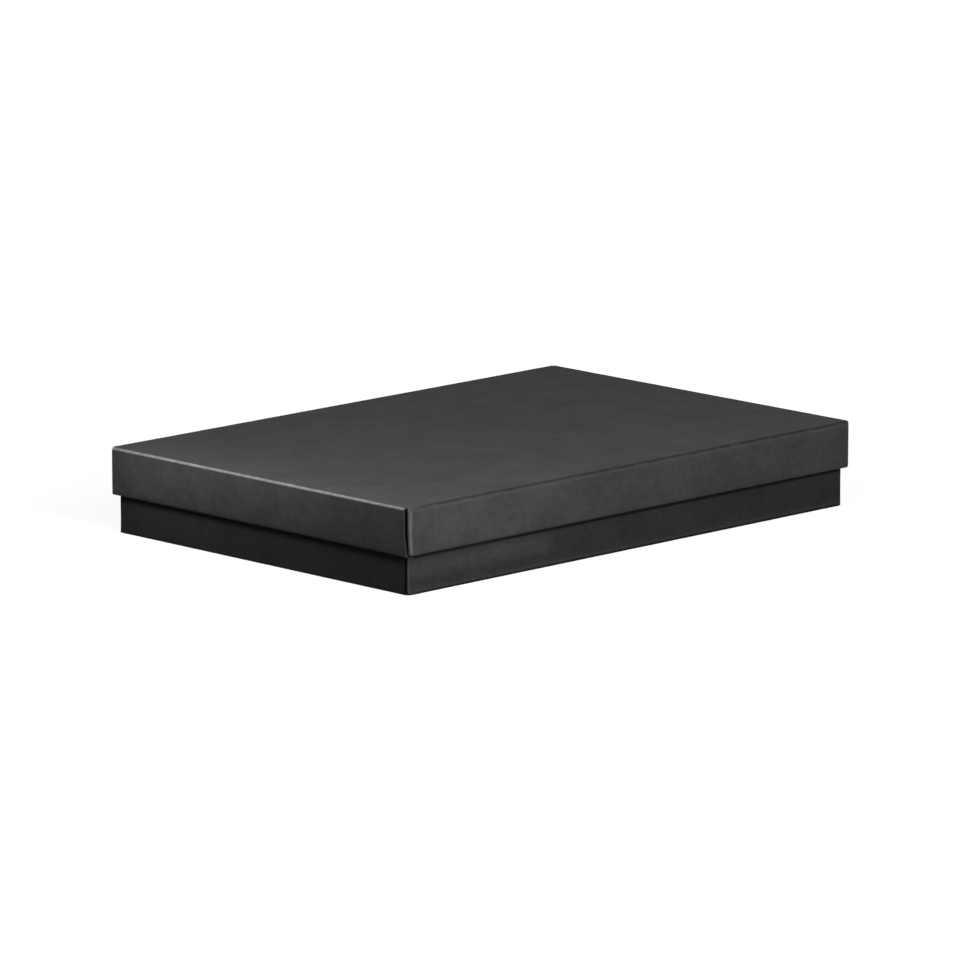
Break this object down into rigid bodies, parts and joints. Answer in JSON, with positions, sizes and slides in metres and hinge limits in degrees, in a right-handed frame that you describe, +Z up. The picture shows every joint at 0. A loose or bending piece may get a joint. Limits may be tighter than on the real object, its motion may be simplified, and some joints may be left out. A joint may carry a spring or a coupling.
{
  "type": "two-piece gift box",
  "caption": "Flat oblong gift box of dark folded board: a shallow double-walled base tray with a deeper-rimmed lid of the same make that lifts straight off.",
  "frame": {"origin": "centre of the closed box's underside, on the surface that it stands on", "axes": "+X along the box's length, towards its right end; -Y out of its front long wall; +Z up, the way the lid lifts off"},
  "size_m": [0.2998, 0.2044, 0.0419],
  "materials": {
    "lid_board": "matt, dyed through",
    "base_board": "matt, dyed through"
  },
  "bodies": {
    "base": {"base_bottom_panel": "base_board", "base_front_wall": "base_board", "base_back_wall": "base_board", "base_left_wall": "base_board", "base_right_wall": "base_board", "base_front_inner_wall": "base_board", "base_back_inner_wall": "base_board", "base_left_inner_wall": "base_board", "base_right_inner_wall": "base_board", "base_front_left_flap": "base_board", "base_front_right_flap": "base_board", "base_back_left_flap": "base_board", "base_back_right_flap": "base_board"},
    "lid": {"lid_top_panel": "lid_board", "lid_front_wall": "lid_board", "lid_back_wall": "lid_board", "lid_left_wall": "lid_board", "lid_right_wall": "lid_board", "lid_front_inner_wall": "lid_board", "lid_back_inner_wall": "lid_board", "lid_left_inner_wall": "lid_board", "lid_right_inner_wall": "lid_board", "lid_front_left_flap": "lid_board", "lid_front_right_flap": "lid_board", "lid_back_left_flap": "lid_board", "lid_back_right_flap": "lid_board"}
  },
  "joints": [
    {"name": "lid_lift", "type": "slide", "parent": "base", "child": "lid", "axis": [0, 0, 1], "range_m": [0, 0.1]}
  ]
}
